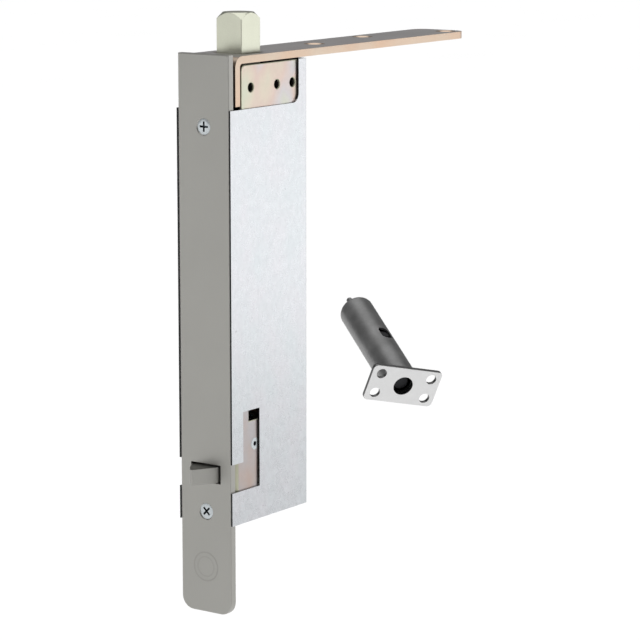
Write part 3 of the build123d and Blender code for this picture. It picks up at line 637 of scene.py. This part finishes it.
def broken_edges(node, width, segments, limited=True):
    """A copy of a CAD piece with its sharp edges rounded, which stands for it."""
    piece = merged_copy(node)
    edit(piece, lambda: bpy.ops.mesh.dissolve_limited(angle_limit=FLAT_WITHIN))
    modify(piece, "BEVEL", width=width, segments=segments, limit_method="ANGLE",
           angle_limit=SHARP_ABOVE, use_clamp_overlap=limited)
    smooth(piece)
    modify(piece, "WEIGHTED_NORMAL", mode="FACE_AREA", weight=FACE_WEIGHT, keep_sharp=True)
    hand_over(piece, node)
    return piece


def turned(name, profile, middle):
    """A solid turned about an axis along X: a disc, pushed back and resized ring by ring."""
    place, radius = profile[0]
    bpy.ops.object.select_all(action="DESELECT")
    bpy.ops.mesh.primitive_circle_add(
        vertices=TURNED_SIDES, radius=radius, fill_type="NGON",
        location=(place, middle[1], middle[2]), rotation=(0.0, math.radians(90), 0.0))
    piece = named(name)
    settle(piece)
    bpy.ops.object.mode_set(mode="EDIT")
    bpy.ops.mesh.select_all(action="SELECT")
    for reach, wide in profile[1:]:
        bpy.ops.mesh.extrude_region_move(TRANSFORM_OT_translate={"value": (reach - place, 0.0, 0.0)})
        grow = wide / radius
        bpy.ops.transform.resize(value=(1.0, grow, grow), center_override=(reach, middle[1], middle[2]))
        place, radius = reach, wide
    bpy.ops.mesh.select_all(action="SELECT")
    bpy.ops.mesh.normals_make_consistent(inside=False)
    bpy.ops.object.mode_set(mode="OBJECT")
    return piece


def tapered_bar(name, middle, size, turn):
    """A bar that narrows along X, to cut one arm of a cross."""
    bpy.ops.object.select_all(action="DESELECT")
    bpy.ops.mesh.primitive_cube_add(size=1.0, location=middle, scale=size)
    bar = named(name)
    settle(bar)
    bpy.ops.object.mode_set(mode="EDIT")
    bpy.ops.mesh.select_all(action="DESELECT")
    bpy.ops.object.mode_set(mode="OBJECT")
    for face in bar.data.polygons:
        face.select = face.normal.x > SQUARE
    bpy.ops.object.mode_set(mode="EDIT")
    bpy.ops.mesh.select_mode(type="FACE")
    bpy.ops.transform.resize(value=NARROWED, center_override=tuple(middle))
    bpy.ops.mesh.select_all(action="SELECT")
    bpy.ops.transform.rotate(value=-turn, orient_axis="X", center_override=tuple(middle))
    bpy.ops.object.mode_set(mode="OBJECT")
    return bar


def cut_with(piece, tool):
    """Take a tool's shape out of a piece."""
    before = len(piece.data.polygons)
    modify(piece, "BOOLEAN", operation="DIFFERENCE", object=tool, solver="EXACT")
    after = len(piece.data.polygons)
    insist(after and after != before, f"the cut took nothing out of {piece.name}, or all of it")
    bpy.data.objects.remove(tool)


def finishes():
    """The finishes made once, kept by name."""
    if not FINISHES:
        FINISHES.update(make_finishes(bpy.context.scene.flush_finish))
    return FINISHES


FINISHES = {}


# ---------------------------------------------------------------- operators
class OBJECT_OT_flush_plain(Operator):
    """Give every CAD piece its finish"""

    bl_idname = "flush.plain"
    bl_label = "Finish the CAD pieces"

    def execute(self, context):
        for node, item in NODES.items():
            item.data.materials.clear()
            item.data.materials.append(finishes()[SLOT_OF[node]])
        return {"FINISHED"}


class OBJECT_OT_flush_sheet(Operator):
    """Round the edges of the sheet metal pieces"""

    bl_idname = "flush.sheet"
    bl_label = "Sheet metal"

    rimmed = ("guide_bracket", "trigger_frame")
    inside = ("crank_bracket", "spring_seat", "screw_tab_upper", "screw_tab_lower",
              "crank_plate_near", "crank_plate_far", "trigger_slide")

    def execute(self, context):
        edges = context.scene.flush_edges
        case = broken_edges("case_shell", edges.sheet, edges.segments)
        # the case's forward-facing cut edges are painted near-black: partly bare steel, partly painted
        # shadow of the gap beside the face plate
        coat(case, "raw_edge", lambda centre, normal: normal.x < -LOOKS_FORWARD)
        for node in self.rimmed:
            piece = broken_edges(node, edges.guide, edges.segments, limited=False)
            # the rounded rims and bends take the pale finish as a painted highlight
            coat(piece, "zinc_rim", lambda centre, normal: BENT < abs(normal.y) < LEVEL)
            if node == "trigger_frame":
                # the frame's flat sides take the darker finish, painted shade inside the case
                coat(piece, "shaded_inner_zinc", lambda centre, normal: abs(normal.y) >= LEVEL)
        for node in self.inside:
            broken_edges(node, edges.sheet, edges.segments)
        return {"FINISHED"}


class OBJECT_OT_flush_plates(Operator):
    """Round the edges of the thick plates and machined pieces"""

    bl_idname = "flush.plates"
    bl_label = "Plates and bolt"

    def execute(self, context):
        edges = context.scene.flush_edges
        strap = broken_edges("top_strap", edges.strap, edges.segments)
        coat(strap, "strap_faces", lambda centre, normal: abs(normal.z) > SQUARE)
        coat(strap, "strap_edges", lambda centre, normal: abs(normal.z) <= SQUARE)
        broken_edges("face_plate", edges.sheet, edges.segments)
        for node in ("bolt_head", "trigger", "guide_block", "rod_yoke", "rod_nut_upper", "rod_nut_lower",
                     "spring_collar", "crank_hub"):
            broken_edges(node, edges.block, edges.segments)
        return {"FINISHED"}


class OBJECT_OT_flush_screws(Operator):
    """Model the two face screws with their crosses and threads"""

    bl_idname = "flush.screws"
    bl_label = "Face screws"

    turns = {"face_screw_upper": 0.0, "face_screw_lower": 45.0}
    rim_across = 0.12 * MM
    rim_along = 0.05 * MM
    plain_tip = 1.0 * MM
    tip_share = 0.6
    groove_from = 0.35
    groove_to = 0.65
    recess_share = 0.55
    recess_below = 0.01 * MM
    recess_past = 0.1 * MM

    def execute(self, context):
        screw = context.scene.flush_screws
        for node, turn in self.turns.items():
            self.make(node, math.radians(turn), screw)
        return {"FINISHED"}

    def make(self, node, turn, screw):
        low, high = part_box(node)
        middle = (low + high) / 2
        head = (high.y - low.y) / 2
        crest = screw.shank / 2
        root = crest - screw.ridge
        start = low.x + screw.cone_depth
        profile = [(low.x, head - self.rim_across), (low.x + self.rim_along, head), (start, crest)]
        ridges = int((high.x - start - self.plain_tip) / screw.pitch)
        insist(ridges > 0 and root > 0.0, f"{node} has no room for its thread")
        for count in range(ridges):
            back = start + count * screw.pitch
            profile += [(back + screw.pitch * self.groove_from, root),
                        (back + screw.pitch * self.groove_to, root),
                        (back + screw.pitch, crest)]
        profile.append((high.x, crest * self.tip_share))
        piece = turned(node + "_finished", profile, middle)
        deep = screw.recess_depth * 2
        at = Vector((low.x, middle.y, middle.z))
        for quarter in (0.0, math.pi / 2):
            size = (deep, screw.arm, screw.recess_width)
            cut_with(piece, tapered_bar("cross", at, size, turn + quarter))
        smooth(piece)
        hand_over(piece, node)
        floor = low.x + screw.recess_depth + self.recess_past

        def in_recess(centre, normal):
            off = Vector((0.0, centre.y - middle.y, centre.z - middle.z)).length
            deep_enough = low.x + self.recess_below < centre.x < floor
            return deep_enough and off < screw.recess_width * self.recess_share

        # faces down in the cross take the darker finish as painted shade
        coat(piece, "recess", in_recess)


class OBJECT_OT_flush_fire_bolt(Operator):
    """Round the edges of the fire bolt's plate, tube and pin"""

    bl_idname = "flush.fire_bolt"
    bl_label = "Fire bolt"

    def execute(self, context):
        edges = context.scene.flush_edges
        plate = broken_edges("fire_plate", edges.sheet, edges.segments)
        outward = Vector(JOINTS["fire_bolt_place"]["axis"])
        coat(plate, "small_plate_edge", lambda centre, normal: normal.dot(outward) < LOOKS_OUT)
        broken_edges("fire_tube", edges.sheet, edges.segments)
        pin = broken_edges("fire_pin", edges.sheet, edges.segments)
        low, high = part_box("fire_plate")
        middle = (low + high) / 2
        coat(pin, "grey_steel", lambda centre, normal: (centre - middle).dot(outward) < -TAIL_FROM)
        return {"FINISHED"}


class OBJECT_OT_flush_spring(Operator):
    """Finish the bolt's spring, give it a mesh of its own, and check that the bolt's travel is shorter than
    the spring
    """

    bl_idname = "flush.spring"
    bl_label = "Bolt spring"

    def execute(self, context):
        coil = merged_copy("bolt_spring")
        smooth(coil)
        hand_over(coil, "bolt_spring")
        low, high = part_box("bolt_spring")
        travel = max(JOINTS["bolt_slide"]["range_m"])
        keep = 1.0 - travel / (high.z - low.z)
        insist(0.0 < keep < 1.0, "the bolt travels further than its spring can shorten")
        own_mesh(coil)
        return {"FINISHED"}


class OBJECT_OT_flush_stage(Operator):
    """Floor, lights and camera"""

    bl_idname = "flush.stage"
    bl_label = "Stage"

    def execute(self, context):
        stage = context.scene.flush_stage
        context.scene.view_settings.view_transform = "Standard"
        self.lay_floor(stage)
        self.light(stage)
        self.aim_camera(context, stage)
        return {"FINISHED"}

    def lay_floor(self, stage):
        low = CAD_BOX[0].z - stage.floor_drop
        bpy.ops.mesh.primitive_plane_add(size=FLOOR_ACROSS, location=(0.0, 0.0, low))
        floor = named("floor")
        settle(floor)
        finish = Finish("pale_floor", metallic=0.0)
        fine = finish.noise(FLOOR_GRAIN, 2.0)
        shade = finish.shade(0.985 + fine * 0.03, FLOOR_WHITE)
        floor.data.materials.append(finish.feed(Base_Color=shade, Roughness=0.95))

    def light(self, stage):
        world = bpy.data.worlds.new("grey_room")
        bpy.context.scene.world = world
        world.use_nodes = True
        tree = world.node_tree
        back = tree.nodes["Background"]
        seen = add_node(tree, "ShaderNodeLightPath")
        plug(tree, back.inputs["Strength"], seen * (1.0 - stage.surround) + stage.surround)
        plug(tree, back.inputs["Color"], WHITE)
        shine = stage.overhead_shine
        for name, share, glossy in (("overhead", shine, True), ("overhead_matte", 1.0 - shine, False)):
            bpy.ops.object.light_add(type="SUN", location=SUN_AT)
            sun = named(name)
            sun.data.energy = stage.overhead * share
            sun.data.angle = stage.overhead_spread
            sun.visible_glossy = glossy
        self.soft_box("key", stage.key, stage.key_at, stage)
        self.soft_box("fill", stage.fill, stage.fill_at, stage)

    def soft_box(self, name, power, spot, stage):
        bpy.ops.object.light_add(type="AREA", location=spot)
        box = named(name)
        aim = (CAD_BOX[0].z + CAD_BOX[1].z) / 2
        toward = Vector((0.0, 0.0, aim)) - box.location
        box.rotation_euler = toward.to_track_quat("-Z", "Y").to_euler()
        box.data.shape = "RECTANGLE"
        box.data.size = stage.box_width
        box.data.size_y = stage.box_height
        box.data.energy = power

    def aim_camera(self, context, stage):
        turn, lift = stage.azimuth, stage.elevation
        back = Vector((math.sin(turn) * math.cos(lift), -math.cos(turn) * math.cos(lift), math.sin(lift)))
        bpy.ops.object.camera_add(location=Vector(stage.look_at) + back * stage.distance)
        camera = named("camera")
        camera.rotation_euler = (-back).to_track_quat("-Z", "Y").to_euler()
        camera.data.lens = stage.lens
        camera.data.sensor_width = SENSOR_WIDTH
        camera.data.clip_end = CLEAR_TO
        context.scene.camera = camera


class VIEW3D_PT_flush_bolt(Panel):
    """Settings and steps of the flush bolt"""

    bl_idname = "VIEW3D_PT_flush_bolt"
    bl_label = "Flush bolt"
    bl_space_type = "VIEW_3D"
    bl_region_type = "UI"
    bl_category = "Flush bolt"

    def draw(self, context):
        for group in SETTINGS:
            box = self.layout.box()
            for name in SETTINGS[group].__annotations__:
                box.prop(getattr(context.scene, group), name)
        for step in STEPS:
            self.layout.operator(step.bl_idname)


SETTINGS = {
    "flush_finish": FinishSettings,
    "flush_edges": EdgeSettings,
    "flush_screws": ScrewSettings,
    "flush_stage": StageSettings,
}
STEPS = (
    OBJECT_OT_flush_plain,
    OBJECT_OT_flush_sheet,
    OBJECT_OT_flush_plates,
    OBJECT_OT_flush_screws,
    OBJECT_OT_flush_fire_bolt,
    OBJECT_OT_flush_spring,
    OBJECT_OT_flush_stage,
)


def register():
    for group, kind in SETTINGS.items():
        bpy.utils.register_class(kind)
        setattr(bpy.types.Scene, group, PointerProperty(type=kind))
    for step in (*STEPS, VIEW3D_PT_flush_bolt):
        bpy.utils.register_class(step)


def unregister():
    for step in reversed((*STEPS, VIEW3D_PT_flush_bolt)):
        bpy.utils.unregister_class(step)
    for group, kind in SETTINGS.items():
        delattr(bpy.types.Scene, group)
        bpy.utils.unregister_class(kind)


def main():
    register()
    for step in STEPS:
        area, call = step.bl_idname.split(".")
        getattr(getattr(bpy.ops, area), call)()


if __name__ == "__main__":
    main()
